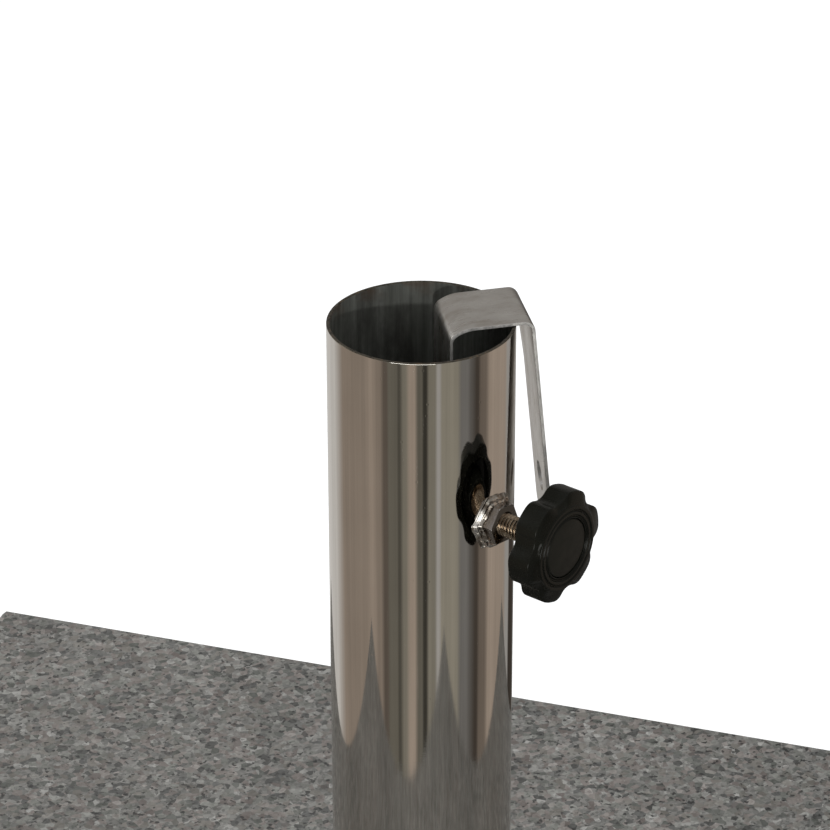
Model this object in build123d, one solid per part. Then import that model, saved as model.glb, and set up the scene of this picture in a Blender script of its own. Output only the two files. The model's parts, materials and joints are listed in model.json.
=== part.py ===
"""Parasol base: a granite slab on four rubber feet, a polished stainless pole tube bolted to its
middle, a clamp screw with a star knob in a nut welded to the tube, and a pressure clip on the rim.

Millimetres, +Z up. The origin is on the ground under the middle of the slab, and X and Y run along
the slab's sides. The tube is not indexed to the slab, so the knob and the clip point at odd angles.
"""
from build123d import *
import math
import os

# ---- slab and feet
SLAB_SIDE = 600.0
SLAB_THICK = 90.0
SLAB_CHAMFER = 2.0
FOOT_HEIGHT = 6.0
FOOT_R = 20.0
FOOT_INSET = 60.0            # from each side of the slab to a foot's middle
FOOT_CHAMFER = 1.5
FOOT_SCREW_R = 2.5
FOOT_SCREW_FIT = 0.1
FOOT_SCREW_LENGTH = 24.0
FOOT_SCREW_POINT = 1.2
FOOT_HEAD_R = 4.75
FOOT_HEAD_FIT = 0.3
FOOT_HEAD_HEIGHT = 2.6
FOOT_HEAD_SINK = 0.8         # from the ground up to the screw head
FOOT_HEAD_ROUND = 1.2
CROSS_SLOT_WIDTH = 1.2
CROSS_SLOT_LENGTH = 4.8
CROSS_SLOT_DEPTH = 1.2
PLUG_R = 4.0
PLUG_LENGTH = 28.0
PLUG_FIT = 0.02

# ---- pole tube
TUBE_R = 31.75               # 63.5 mm tube
TUBE_WALL = 1.2
RIM_ABOVE_SLAB = 333.0
GASKET_THICK = 2.0
GASKET_R = 46.0
FLANGE_R = 47.0
FLANGE_THICK = 6.0
FLANGE_CHAMFER = 0.2
FLANGE_HOLE_R = 6.25
FLANGE_WELD_LEG = 3.5

# ---- anchor bolt, M12
BOLT_R = 6.0
BOLT_LENGTH = 90.0
BOLT_POINT = 1.2
BOLT_HEAD_FLATS = 18.0
BOLT_HEAD_HEIGHT = 7.5
BOLT_HOLE_R = 7.0
ANCHOR_NUT_FLATS = 19.0
ANCHOR_NUT_HEIGHT = 10.8
ANCHOR_NUT_TURN = 12.0
COUNTERBORE_R = 30.0
COUNTERBORE_DEPTH = 30.0
WASHER_R = 25.0
WASHER_THICK = 4.0
WASHER_HOLE_R = 6.5
SPRING_WASHER_R = 10.5
SPRING_WASHER_HOLE_R = 6.2
SPRING_WASHER_THICK = 3.0
SPRING_WASHER_SPLIT = 2.0
SPRING_WASHER_SLANT = 20.0

# ---- cover rosette
ROSETTE_R = 66.0
ROSETTE_HEIGHT = 25.0
ROSETTE_SHEET = 1.2
ROSETTE_GAP = 0.4            # between the collar and the tube
ROSETTE_LIP = 3.5
ROSETTE_SLOPE = 0.45
ROSETTE_LIP_BEND = 1.8
ROSETTE_COLLAR_BEND = 8.0

# ---- clamp screw, M8, at the tube's side; distances along its axis are from the tube's axis
SCREW_AZIMUTH = -21.0
SCREW_BELOW_RIM = 64.8
THREAD_R = 4.0
THREAD_FIT = 0.05
NUT_FLATS = 13.0
NUT_BACK = 29.5
NUT_FRONT = 36.0
NUT_TURN = -37.0
NUT_HOLE_R = 7.8
WELD_R = 10.8
WELD_THICK = 1.9
STUD_TIP = 20.2
STUD_END = 58.3
STUD_CHAMFER = 0.7
DOG_R = 2.0
DOG_TIP = 17.9
DOG_CHAMFER = 0.4
PAD_R = 3.1
PAD_FRONT = 17.0
PAD_BACK = 20.0
PAD_ROUND = 0.6
PAD_FIT = 0.08
PAD_SOCKET = 17.8

# ---- star knob, on the clamp screw
KNOB_R = 19.6
KNOB_LOBES = 6
KNOB_TURN = -21.3
SCALLOP_R = 6.5
SCALLOP_DEPTH = 2.5
LOBE_ROUND = 5.0
KNOB_BACK = 52.1
KNOB_SHOULDER = 58.9         # where the lobes' sides end
KNOB_SLOPE = 60.5            # where the slope up to the face begins
KNOB_FACE = 62.3
KNOB_FACE_R = 15.0
KNOB_EDGE = 1.2
HUB_R = 8.0
HUB_BACK = 48.9
POCKET_IN = 9.6
POCKET_OUT = 13.8
POCKET_FLOOR = 57.3
FACE_GROOVES_R = (11.4, 13.3)
FACE_GROOVE = 0.4            # depth and half width
CAP_R = 10.3
CAP_FIT = 0.2
CAP_BACK = 60.5
CAP_EDGE = 61.9
CAP_CROWN = 0.6
INSERT_R = 6.0
INSERT_FRONT = 59.1

# ---- pressure clip, a bent strip that hangs over the rim; bend radii are of its outer face
CLIP_AZIMUTH = 28.94
CLIP_OFFSET = 3.8            # its middle line passes this far beside the tube's axis
CLIP_WIDTH = 27.5
CLIP_THICK = 1.2
CLIP_INNER_LEG = 7.7         # from the tube's axis to the inner leg's near face
CLIP_CORNER = 36.5           # from the tube's axis to the outer bend
CLIP_TILT = 1.7              # the top falls a little towards the inner leg
CLIP_REST = 25.0             # from the tube's axis to where the top lies on the rim
CLIP_FALL = 32.0             # the steeper part between the top and the inner leg
CLIP_FALL_RUN = 5.0
CLIP_TOP_BEND = 13.5
CLIP_INNER_BEND = 3.9
CLIP_OUTER_BEND = 3.8
CLIP_LEAN = 5.5
CLIP_DROP = 82.0
CLIP_HOLE_R = 5.2
CLIP_HOLE_BELOW_RIM = 64.8
CLIP_END_ROUND = 4.0

OVERRUN = 1.0                # how far a cutting solid passes the face it opens

SLAB_TOP = FOOT_HEIGHT + SLAB_THICK
FLANGE_BOTTOM = SLAB_TOP + GASKET_THICK
FLANGE_TOP = FLANGE_BOTTOM + FLANGE_THICK
RIM = SLAB_TOP + RIM_ABOVE_SLAB
COUNTERBORE_TOP = FOOT_HEIGHT + COUNTERBORE_DEPTH
HEAD_TOP = COUNTERBORE_TOP - WASHER_THICK - SPRING_WASHER_THICK
SCREW_HEIGHT = RIM - SCREW_BELOW_RIM
UP = (0, 0, 1)


def across_corners(flats):
    """Corner radius of a hexagon from its width across flats."""
    return flats / 2 / math.cos(math.pi / 6)


def disc(radius, low, high):
    """Upright cylinder between two heights."""
    return Pos(0, 0, low) * Cylinder(radius, high - low, align=(Align.CENTER, Align.CENTER, Align.MIN))


def ring(outer, inner, low, high):
    """Upright ring between two heights."""
    return disc(outer, low, high) - disc(inner, low - OVERRUN, high + OVERRUN)


def end_edge(piece, last):
    """Round edge at one end of an upright piece: the highest if last is true, else the lowest."""
    return piece.edges().filter_by(GeomType.CIRCLE).sort_by(Axis.Z)[-1 if last else 0]


def hexagon(flats, low, high, turn=0.0):
    """Hexagonal prism whose corners are turned down at 30 degrees at both ends."""
    corner = across_corners(flats)
    drop = (corner - flats / 2) * math.tan(math.pi / 6)
    prism = Pos(0, 0, low) * extrude(Rot(0, 0, turn) * RegularPolygon(corner, 6), high - low)
    profile = Polyline(
        (0, low), (flats / 2, low), (corner, low + drop), (corner, high - drop), (flats / 2, high),
        (0, high), close=True)
    return prism & turned(profile)


def turned(outline):
    """Solid of revolution about Z from a closed outline given as radius and height."""
    return revolve(Plane.XZ * make_face(outline), axis=Axis.Z)


def bent(strip, bends):
    """Rounds the corners of a flat strip's side view, each given as a place and a radius."""
    for place, radius in bends:
        corner = strip.vertices().sort_by_distance((place[0], place[1], 0))[0]
        strip = fillet(corner, radius)
    return strip


def foot_places():
    """Middles of the four feet."""
    reach = SLAB_SIDE / 2 - FOOT_INSET
    return [Pos(reach * x, reach * y, 0) for x in (-1, 1) for y in (-1, 1)]


def at_feet(piece):
    """One copy of a piece under each corner of the slab."""
    return Compound(children=[place * piece for place in foot_places()])


def on_screw(piece):
    """Puts a piece drawn about +Z onto the clamp screw's axis, with local X upwards."""
    azimuth = math.radians(SCREW_AZIMUTH)
    outward = (math.cos(azimuth), math.sin(azimuth), 0)
    return Plane(origin=(0, 0, SCREW_HEIGHT), x_dir=UP, z_dir=outward).location * piece


# ---- slab and feet

def granite_slab():
    slab = Pos(0, 0, FOOT_HEIGHT) * Box(
        SLAB_SIDE, SLAB_SIDE, SLAB_THICK, align=(Align.CENTER, Align.CENTER, Align.MIN))
    slab = chamfer(slab.edges(), SLAB_CHAMFER)
    slab -= disc(BOLT_HOLE_R, 0, SLAB_TOP + OVERRUN)
    slab -= disc(COUNTERBORE_R, 0, COUNTERBORE_TOP)
    for place in foot_places():
        slab -= place * disc(PLUG_R, 0, FOOT_HEIGHT + PLUG_LENGTH)
    return slab


def slab_feet():
    foot = disc(FOOT_R, 0, FOOT_HEIGHT)
    foot = chamfer(end_edge(foot, False), FOOT_CHAMFER)
    foot -= disc(FOOT_SCREW_R + FOOT_SCREW_FIT, 0, FOOT_HEIGHT + OVERRUN)
    foot -= disc(FOOT_HEAD_R + FOOT_HEAD_FIT, -OVERRUN, FOOT_HEAD_SINK + FOOT_HEAD_HEIGHT)
    return at_feet(foot)


def foot_screws():
    head_top = FOOT_HEAD_SINK + FOOT_HEAD_HEIGHT
    screw = disc(FOOT_SCREW_R, head_top, head_top + FOOT_SCREW_LENGTH)
    screw = chamfer(end_edge(screw, True), FOOT_SCREW_POINT)
    head = disc(FOOT_HEAD_R, FOOT_HEAD_SINK, head_top)
    head = fillet(end_edge(head, False), FOOT_HEAD_ROUND)
    slot = Pos(0, 0, FOOT_HEAD_SINK) * Box(CROSS_SLOT_LENGTH, CROSS_SLOT_WIDTH, 2 * CROSS_SLOT_DEPTH)
    return at_feet(screw + head - slot - Rot(0, 0, 90) * slot)


def foot_plugs():
    return at_feet(ring(
        PLUG_R - PLUG_FIT, FOOT_SCREW_R + PLUG_FIT, FOOT_HEIGHT, FOOT_HEIGHT + PLUG_LENGTH))


# ---- anchoring of the tube

def base_gasket():
    return ring(GASKET_R, BOLT_HOLE_R, SLAB_TOP, FLANGE_BOTTOM)


def tube_flange():
    flange = chamfer(end_edge(disc(FLANGE_R, FLANGE_BOTTOM, FLANGE_TOP), True), FLANGE_CHAMFER)
    return flange - disc(FLANGE_HOLE_R, SLAB_TOP, FLANGE_TOP + OVERRUN)


def flange_weld():
    outline = Polyline(
        (TUBE_R, FLANGE_TOP), (TUBE_R + FLANGE_WELD_LEG, FLANGE_TOP), (TUBE_R, FLANGE_TOP + FLANGE_WELD_LEG),
        close=True)
    return turned(outline)


def anchor_bolt():
    head = hexagon(BOLT_HEAD_FLATS, HEAD_TOP - BOLT_HEAD_HEIGHT, HEAD_TOP)
    shank = disc(BOLT_R, HEAD_TOP, HEAD_TOP + BOLT_LENGTH)
    return head + chamfer(end_edge(shank, True), BOLT_POINT)


def anchor_washer():
    return ring(WASHER_R, WASHER_HOLE_R, COUNTERBORE_TOP - WASHER_THICK, COUNTERBORE_TOP)


def anchor_spring_washer():
    washer = ring(SPRING_WASHER_R, SPRING_WASHER_HOLE_R, HEAD_TOP, HEAD_TOP + SPRING_WASHER_THICK)
    split = Box(SPRING_WASHER_R, SPRING_WASHER_SPLIT, 3 * SPRING_WASHER_THICK)
    middle = Pos(SPRING_WASHER_R, 0, HEAD_TOP + SPRING_WASHER_THICK / 2)
    return washer - middle * Rot(SPRING_WASHER_SLANT, 0, 0) * split


def anchor_nut():
    nut = hexagon(ANCHOR_NUT_FLATS, FLANGE_TOP, FLANGE_TOP + ANCHOR_NUT_HEIGHT, ANCHOR_NUT_TURN)
    return nut - disc(BOLT_R + THREAD_FIT, 0, RIM)


def cover_rosette():
    """Pressed sheet cover: a short lip on the slab, a cone over the flange and a collar on the tube."""
    inner = TUBE_R + ROSETTE_GAP
    collar = inner + ROSETTE_SHEET
    lip = SLAB_TOP + ROSETTE_LIP
    top = SLAB_TOP + ROSETTE_HEIGHT
    shift = ROSETTE_SHEET * math.hypot(1, ROSETTE_SLOPE)
    lip_inside = ROSETTE_R - ROSETTE_SHEET

    def cone(radius):
        return lip + ROSETTE_SLOPE * (ROSETTE_R - radius)

    bends = (
        ((ROSETTE_R, lip), ROSETTE_LIP_BEND + ROSETTE_SHEET),
        ((collar, cone(collar)), ROSETTE_COLLAR_BEND),
        ((inner, cone(inner) - shift), ROSETTE_COLLAR_BEND + ROSETTE_SHEET),
        ((lip_inside, cone(lip_inside) - shift), ROSETTE_LIP_BEND))
    sheet = make_face(Polyline(
        (ROSETTE_R, SLAB_TOP), bends[0][0], bends[1][0], (collar, top), (inner, top), bends[2][0],
        bends[3][0], (lip_inside, SLAB_TOP), close=True))
    return revolve(Plane.XZ * bent(sheet, bends), axis=Axis.Z)


def upright_tube():
    tube = ring(TUBE_R, TUBE_R - TUBE_WALL, FLANGE_TOP, RIM)
    return tube - on_screw(disc(NUT_HOLE_R, TUBE_R / 2, TUBE_R + OVERRUN))


# ---- clamp screw

def clamp_nut():
    nut = hexagon(NUT_FLATS, NUT_BACK, NUT_FRONT, NUT_TURN)
    return on_screw(nut - disc(THREAD_R + THREAD_FIT, 0, NUT_FRONT + OVERRUN))


def clamp_nut_weld():
    """Bead round the nut: it fills the hole in the tube's wall and lies on the tube outside."""
    shell = ring(
        TUBE_R + WELD_THICK, TUBE_R - TUBE_WALL, SCREW_HEIGHT - 2 * WELD_R, SCREW_HEIGHT + 2 * WELD_R)
    nut = extrude(Rot(0, 0, NUT_TURN) * RegularPolygon(across_corners(NUT_FLATS), 6), 2 * TUBE_R)
    bead = shell & on_screw(disc(WELD_R, TUBE_R / 2, 2 * TUBE_R) - nut)
    return bead - upright_tube()


def clamp_screw():
    stud = disc(THREAD_R, STUD_TIP, STUD_END)
    stud = chamfer(end_edge(stud, False), STUD_CHAMFER)
    dog = disc(DOG_R, DOG_TIP, STUD_TIP + OVERRUN)
    return on_screw(stud + chamfer(end_edge(dog, False), DOG_CHAMFER))


def screw_pad():
    pad = disc(PAD_R, PAD_FRONT, PAD_BACK)
    pad = fillet(end_edge(pad, False), PAD_ROUND)
    return on_screw(pad - disc(DOG_R + PAD_FIT, PAD_SOCKET, PAD_BACK + OVERRUN))


# ---- star knob

def star_outline():
    """Round blank with one scallop between every two lobes, its corners rounded."""
    valley = KNOB_R - SCALLOP_DEPTH
    blank = Circle(KNOB_R)
    for lobe in range(KNOB_LOBES):
        angle = KNOB_TURN + (lobe + 0.5) * 360 / KNOB_LOBES
        blank -= Rot(0, 0, angle) * Pos(valley + SCALLOP_R, 0) * Circle(SCALLOP_R)
    return fillet(blank.vertices(), LOBE_ROUND)


def knob_envelope():
    """Turned shape that rounds the lobes' back edge and slopes them off round the face."""
    outline = Polyline(
        (0, KNOB_BACK), (KNOB_R - KNOB_EDGE, KNOB_BACK), (KNOB_R, KNOB_BACK + KNOB_EDGE),
        (KNOB_R, KNOB_SHOULDER), (KNOB_R - KNOB_EDGE, KNOB_SLOPE), (KNOB_FACE_R, KNOB_FACE),
        (0, KNOB_FACE), close=True)
    return turned(outline)


def knob_body():
    star = Pos(0, 0, KNOB_BACK) * extrude(star_outline(), KNOB_FACE - KNOB_BACK)
    knob = star & knob_envelope()
    knob -= ring(POCKET_OUT, POCKET_IN, KNOB_BACK - OVERRUN, POCKET_FLOOR)
    knob += disc(HUB_R, HUB_BACK, POCKET_FLOOR)
    knob -= disc(INSERT_R, HUB_BACK - OVERRUN, INSERT_FRONT)
    knob -= disc(CAP_R + CAP_FIT, CAP_BACK, KNOB_FACE + OVERRUN)
    for radius in FACE_GROOVES_R:
        knob -= ring(
            radius + FACE_GROOVE, radius - FACE_GROOVE, KNOB_FACE - FACE_GROOVE, KNOB_FACE + OVERRUN)
    return on_screw(knob)


def knob_insert():
    return on_screw(ring(INSERT_R, THREAD_R, HUB_BACK, STUD_END) + disc(INSERT_R, STUD_END, INSERT_FRONT))


def knob_cap():
    """Thin cap pressed into the face, its front slightly crowned."""
    crown_r = (CAP_R ** 2 + CAP_CROWN ** 2) / (2 * CAP_CROWN)
    front = CAP_EDGE + CAP_CROWN
    return on_screw(disc(CAP_R, CAP_BACK, front) & Pos(0, 0, front - crown_r) * Sphere(crown_r))


# ---- pressure clip

def strip_section(corners, thick):
    """Side view of a bent strip from the corners of its outer face, each with its bend radius."""
    outer = [Vector(x, y) for x, y, radius in corners]
    ways = [(after - before).normalized() for before, after in zip(outer, outer[1:])]
    sides = [Vector(way.Y, -way.X) for way in ways]
    inner = [
        place + (first + second) * (thick / (1 + first.dot(second)))
        for place, first, second in zip(outer, sides[:1] + sides, sides + sides[-1:])]
    bends = []
    for (x, y, radius), inside in list(zip(corners, inner))[1:-1]:
        bends += [((x, y), radius), ((inside.X, inside.Y), radius - thick)]
    return bent(make_face(Polyline(*outer, *reversed(inner), close=True)), bends)


def spring_clip():
    """Strip bent over the rim; the inner leg hangs straight and the outer leg leans outwards."""
    tilt, fall, lean = (math.radians(angle) for angle in (CLIP_TILT, CLIP_FALL, CLIP_LEAN))

    def top(reach):
        return (reach - CLIP_REST) * math.tan(tilt) + CLIP_THICK / math.cos(tilt)

    fall_start = CLIP_INNER_LEG + CLIP_FALL_RUN
    side = strip_section((
        (CLIP_INNER_LEG, -CLIP_DROP, 0),
        (CLIP_INNER_LEG, top(fall_start) - CLIP_FALL_RUN * math.tan(fall), CLIP_INNER_BEND),
        (fall_start, top(fall_start), CLIP_TOP_BEND),
        (CLIP_CORNER, top(CLIP_CORNER), CLIP_OUTER_BEND),
        (CLIP_CORNER + (top(CLIP_CORNER) + CLIP_DROP) * math.tan(lean), -CLIP_DROP, 0)), CLIP_THICK)
    upright = Plane(origin=(0, CLIP_OFFSET + CLIP_WIDTH / 2, 0), x_dir=(1, 0, 0), z_dir=(0, -1, 0))
    clip = upright.location * extrude(side, CLIP_WIDTH)
    ends = [edge for edge in clip.edges().filter_by(GeomType.LINE)
            if edge.center().Z < CLIP_END_ROUND - CLIP_DROP and edge.length < 2 * CLIP_THICK]
    clip = fillet(ends, CLIP_END_ROUND)
    hole = Rot(0, 90, 0) * Cylinder(CLIP_HOLE_R, CLIP_CORNER)
    clip -= Pos(CLIP_CORNER, CLIP_OFFSET, -CLIP_HOLE_BELOW_RIM) * hole
    return Pos(0, 0, RIM) * Rot(0, 0, CLIP_AZIMUTH) * clip


NODES = (
    granite_slab, slab_feet, foot_screws, foot_plugs, base_gasket, tube_flange, flange_weld, anchor_bolt,
    anchor_washer, anchor_spring_washer, anchor_nut, cover_rosette, upright_tube, clamp_nut,
    clamp_nut_weld, clamp_screw, screw_pad, knob_body, knob_insert, knob_cap, spring_clip)

os.makedirs("parts", exist_ok=True)
for node in NODES:
    export_step(node(), f"parts/{node.__name__}.step")
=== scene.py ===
"""Looks of the parasol base: meshes, materials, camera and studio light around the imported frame."""
import bmesh
import bpy
import json
import math
from mathutils import Matrix, Vector, noise


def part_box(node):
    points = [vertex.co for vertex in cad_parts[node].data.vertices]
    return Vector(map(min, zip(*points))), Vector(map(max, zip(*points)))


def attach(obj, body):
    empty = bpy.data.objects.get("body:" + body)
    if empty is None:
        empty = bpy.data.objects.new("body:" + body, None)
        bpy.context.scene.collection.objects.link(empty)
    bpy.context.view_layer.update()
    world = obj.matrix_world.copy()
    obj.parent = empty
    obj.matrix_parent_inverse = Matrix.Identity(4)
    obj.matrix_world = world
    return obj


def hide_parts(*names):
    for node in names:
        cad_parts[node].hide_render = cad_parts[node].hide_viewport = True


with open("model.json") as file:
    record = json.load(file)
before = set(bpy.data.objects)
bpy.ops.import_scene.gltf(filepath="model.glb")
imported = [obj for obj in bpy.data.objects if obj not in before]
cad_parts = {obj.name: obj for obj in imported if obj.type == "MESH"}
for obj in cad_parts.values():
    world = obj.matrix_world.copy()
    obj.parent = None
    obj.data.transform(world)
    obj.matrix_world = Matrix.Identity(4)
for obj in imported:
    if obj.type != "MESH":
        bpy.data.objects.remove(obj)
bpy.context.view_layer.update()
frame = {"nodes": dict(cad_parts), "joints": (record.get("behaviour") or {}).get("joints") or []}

MM = 0.001
AXIS_REACH = 0.001 * MM      # a point this near a lathe's axis is on it
UP = Vector((0, 0, 1))

# ---- sizes and places that the frame gives
TUBE_LOW, TUBE_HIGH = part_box("upright_tube")
TUBE_R = (TUBE_HIGH.x - TUBE_LOW.x) / 2
RIM = TUBE_HIGH.z
JOINTS = {joint["name"]: joint for joint in frame["joints"]}
SCREW_OUT = Vector(JOINTS["screw_turn"]["axis"]).normalized()
SCREW_FOOT = Vector((0, 0, JOINTS["screw_turn"]["pos_m"][2]))


def along_screw(node):
    """Nearest and furthest distance of a node along the screw's axis, and its largest radius."""
    points = [vertex.co - SCREW_FOOT for vertex in frame["nodes"][node].data.vertices]
    depths = [point.dot(SCREW_OUT) for point in points]
    radii = [(point - point.dot(SCREW_OUT) * SCREW_OUT).length for point in points]
    return min(depths), max(depths), max(radii)


NUT_BACK, NUT_FRONT, _ = along_screw("clamp_nut")
STUD_TIP, _, THREAD_R = along_screw("clamp_screw")
HUB_BACK, KNOB_FACE, KNOB_R = along_screw("knob_body")
CAP_BACK, CAP_CROWN, CAP_R = along_screw("knob_cap")
_, INSERT_FRONT, INSERT_R = along_screw("knob_insert")

# ---- sizes that repeat the design's driving dimensions
WALL = 1.2 * MM
NUT_FLATS = 13.0 * MM
NUT_TURN = math.radians(-37.0)
THREAD_PITCH = 1.25 * MM
STUD_BODY = 20.2 * MM
DOG_R = 2.0 * MM
NUT_HOLE_R = 7.8 * MM
LOBES = 6
LOBE_TURN = math.radians(-21.3)
SCALLOP_R = 6.5 * MM
SCALLOP_DEPTH = 2.5 * MM
LOBE_ROUND = 5.0 * MM
LOBE_BACK = 52.1 * MM
HUB_R = 8.0 * MM
POCKET_OUT = 13.8 * MM
POCKET_FLOOR = 57.3 * MM
FACE_R = 15.0 * MM
FACE_GROOVES_R = (13.3 * MM, 11.4 * MM)
CLIP_AZIMUTH = math.radians(28.94)
CLIP_OFFSET = 3.8 * MM
CLIP_WIDTH = 27.5 * MM
CLIP_THICK = 1.2 * MM
CLIP_INNER_LEG = 7.7 * MM
CLIP_CORNER = 36.5 * MM
CLIP_TILT = math.radians(1.7)
CLIP_REST = 25.0 * MM
CLIP_FALL = math.radians(32.0)
CLIP_FALL_RUN = 5.0 * MM
CLIP_TOP_BEND = 13.5 * MM
CLIP_INNER_BEND = 3.9 * MM
CLIP_OUTER_BEND = 3.8 * MM
CLIP_LEAN = math.radians(5.5)
CLIP_DROP = 82.0 * MM
CLIP_HOLE_R = 5.2 * MM
CLIP_HOLE_BELOW_RIM = 64.8 * MM
CLIP_END_ROUND = 4.0 * MM
ROSETTE_SHEET = 1.2 * MM
ROSETTE_GAP = 0.4 * MM
ROSETTE_LIP = 3.5 * MM
ROSETTE_SLOPE = 0.45
ROSETTE_COLLAR_BEND = 8.0 * MM

# ---- details that only the looks have
RIM_SOFT = 0.28 * MM         # rounding of the tube's rim
NUT_EDGE = 0.14 * MM
NUT_FRONT_DROP = 0.25 * MM   # how far the front corners are turned down
NUT_SINK = 0.6 * MM          # countersink at both ends of the bore
BORE_FIT = 1.02
WELD_WIDTH = 3.0 * MM
WELD_HEIGHT = 1.35 * MM
WELD_OVERLAP = 0.5 * MM      # how far the bead goes on under the nut's sides
WELD_ROOT = 0.6 * MM         # how far its outer edge goes into the tube
WELD_RUN_WAVES = 13
THREAD_DEPTH = 0.66 * MM
DOG_EDGE = 0.35 * MM
KNOB_SHOULDER = 1.5 * MM     # from the face back to the lobes' front edges
KNOB_BACK_EDGE = 0.8 * MM
KNOB_FRONT_EDGE = 0.45 * MM
HUB_EDGE = 0.5 * MM
FACE_EDGE = 0.35 * MM
FACE_SAG = 0.35 * MM         # how far the scallops' front edge lies behind the lobes'
VALLEY_DIP = 0.13            # a scallop's depth as a share of the knob's radius
LOBE_FRONT_R = 17.6 * MM
GROOVE_HALF = 0.55 * MM
GROOVE_DEPTH = 0.55 * MM
CAP_FIT = 0.2 * MM
CAP_EDGE = 0.5 * MM
CAP_SINK = 0.35 * MM         # from the knob's face back to the cap's rim
CENTRE_R = 0.02 * MM         # closes the knob's section near its axis, under the cap
CLIP_EDGE = 0.2 * MM
CLIP_TWIST = 1.2 * MM        # how far the outer leg's far edge springs away from the tube
CLIP_TWIST_RUN = 25.0 * MM
PUNCH_REACH = 8 * MM
ROSETTE_LIP_BEND = 3.0 * MM
ROSETTE_EDGE = 0.15 * MM
ROSETTE_COLLAR_EDGE = 0.4 * MM

# ---- camera, from the rim's middle
CAMERA_BACK = 1.1331
CAMERA_ABOVE_RIM = 0.5559
CAMERA_AZIMUTH = math.radians(17.94)
CAMERA_YAW = -0.001875
CAMERA_PITCH = 0.480825
CAMERA_ROLL = -0.001749
LENS = 164.27
SENSOR = 36.0


# ---- mesh helpers

def new_object(name, vertices, faces, crease=40.0):
    """Mesh object, smooth except across edges sharper than crease degrees."""
    mesh = bpy.data.meshes.new(name)
    mesh.from_pydata([tuple(v) for v in vertices], [], faces)
    mesh.validate()
    mesh.polygons.foreach_set("use_smooth", [True] * len(mesh.polygons))
    mesh.set_sharp_from_angle(angle=math.radians(crease))
    made = bpy.data.objects.new(name, mesh)
    bpy.context.scene.collection.objects.link(made)
    return made


def strip_faces(rows, columns, close_rows=False, close_columns=True):
    """Quads of a grid whose vertices run column by column within each row."""
    faces = []
    for row in range(rows if close_rows else rows - 1):
        after = (row + 1) % rows
        for column in range(columns if close_columns else columns - 1):
            beside = (column + 1) % columns
            faces.append((row * columns + column, row * columns + beside,
                          after * columns + beside, after * columns + column))
    return faces


def arc(centre, radius, start, end, steps):
    """Points of an arc in the plane of radius and height; angles in degrees."""
    points = []
    for step in range(steps + 1):
        angle = math.radians(start + (end - start) * step / steps)
        points.append((centre[0] + radius * math.cos(angle), centre[1] + radius * math.sin(angle)))
    return points


def rounded(outline, steps=5):
    """Outline with its corners rounded: each corner is (x, y, radius)."""
    points = []
    for index, (x, y, radius) in enumerate(outline):
        corner = Vector((x, y))
        if radius <= 0:
            points.append((x, y))
            continue
        before = (Vector(outline[index - 1][:2]) - corner).normalized()
        after = (Vector(outline[(index + 1) % len(outline)][:2]) - corner).normalized()
        half = before.angle(after) / 2
        reach = radius / math.tan(half)
        middle = corner + (before + after).normalized() * (radius / math.sin(half))
        first = corner + before * reach - middle
        turn = first.angle_signed(corner + after * reach - middle)
        for step in range(steps + 1):
            swung = first.copy()
            swung.rotate(Matrix.Rotation(-turn * step / steps, 2))
            points.append(tuple(middle + swung))
    return points


def lathe(name, outline, segments, crease=40.0):
    """Closed outline of (radius, height) points turned about +Z; radius 0 makes one point on the axis."""
    vertices = []
    for radius, height in outline:
        for segment in range(segments):
            angle = 2 * math.pi * segment / segments
            vertices.append((radius * math.cos(angle), radius * math.sin(angle), height))
    piece = new_object(name, vertices, strip_faces(len(outline), segments, close_rows=True), crease)
    bm = bmesh.new()
    bm.from_mesh(piece.data)
    on_axis = [vert for vert in bm.verts if vert.co.xy.length < AXIS_REACH]
    if on_axis:
        bmesh.ops.remove_doubles(bm, verts=on_axis, dist=AXIS_REACH)
        bmesh.ops.delete(bm, geom=[edge for edge in bm.edges if not edge.link_faces], context="EDGES")
        bm.to_mesh(piece.data)
    bm.free()
    return piece


def move_mesh(piece, matrix):
    """Moves the mesh itself, so the object stays at the origin."""
    piece.data.transform(matrix)
    piece.data.update()
    return piece


def screw_matrix():
    """From drawing space, +Z outwards and +X up, to the clamp screw's place."""
    across = SCREW_OUT.cross(UP)
    turned = Matrix((UP, across, SCREW_OUT)).transposed().to_4x4()
    return Matrix.Translation(SCREW_FOOT) @ turned


def clip_matrix():
    """From drawing space, +X away from the tube's axis and z = 0 on the rim, to the clip's place."""
    return Matrix.Translation((0, 0, RIM)) @ Matrix.Rotation(CLIP_AZIMUTH, 4, "Z")


def apply_modifiers(piece):
    """Replaces the mesh by its modified mesh."""
    depsgraph = bpy.context.evaluated_depsgraph_get()
    mesh = bpy.data.meshes.new_from_object(piece.evaluated_get(depsgraph))
    piece.modifiers.clear()
    piece.data = mesh
    return piece


def cut(piece, tool, operation="DIFFERENCE"):
    """Boolean with a tool object, which is then deleted."""
    boolean = piece.modifiers.new("cut", "BOOLEAN")
    boolean.operation = operation
    boolean.solver = "EXACT"
    boolean.object = tool
    bpy.context.view_layer.update()
    apply_modifiers(piece)
    bpy.data.objects.remove(tool)
    return piece


def bevel(piece, width, segments, angle):
    """Rounds the piece's edges that are sharper than an angle in degrees."""
    modifier = piece.modifiers.new("bevel", "BEVEL")
    modifier.width = width
    modifier.segments = segments
    modifier.limit_method = "ANGLE"
    modifier.angle_limit = math.radians(angle)
    bpy.context.view_layer.update()
    return apply_modifiers(piece)


def shade(piece, crease):
    """Smooth shading with creases above an angle in degrees."""
    mesh = piece.data
    mesh.polygons.foreach_set("use_smooth", [True] * len(mesh.polygons))
    mesh.set_sharp_from_angle(angle=math.radians(crease))
    return piece


def finish_piece(piece, body, nodes, slot, *materials):
    """Gives a piece its materials, hangs it under its body's empty and hides the CAD nodes that it replaces.
    """
    for material in materials:
        piece.data.materials.append(material)
    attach(piece, body)
    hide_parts(*nodes)
    return piece


# ---- material helpers

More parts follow.
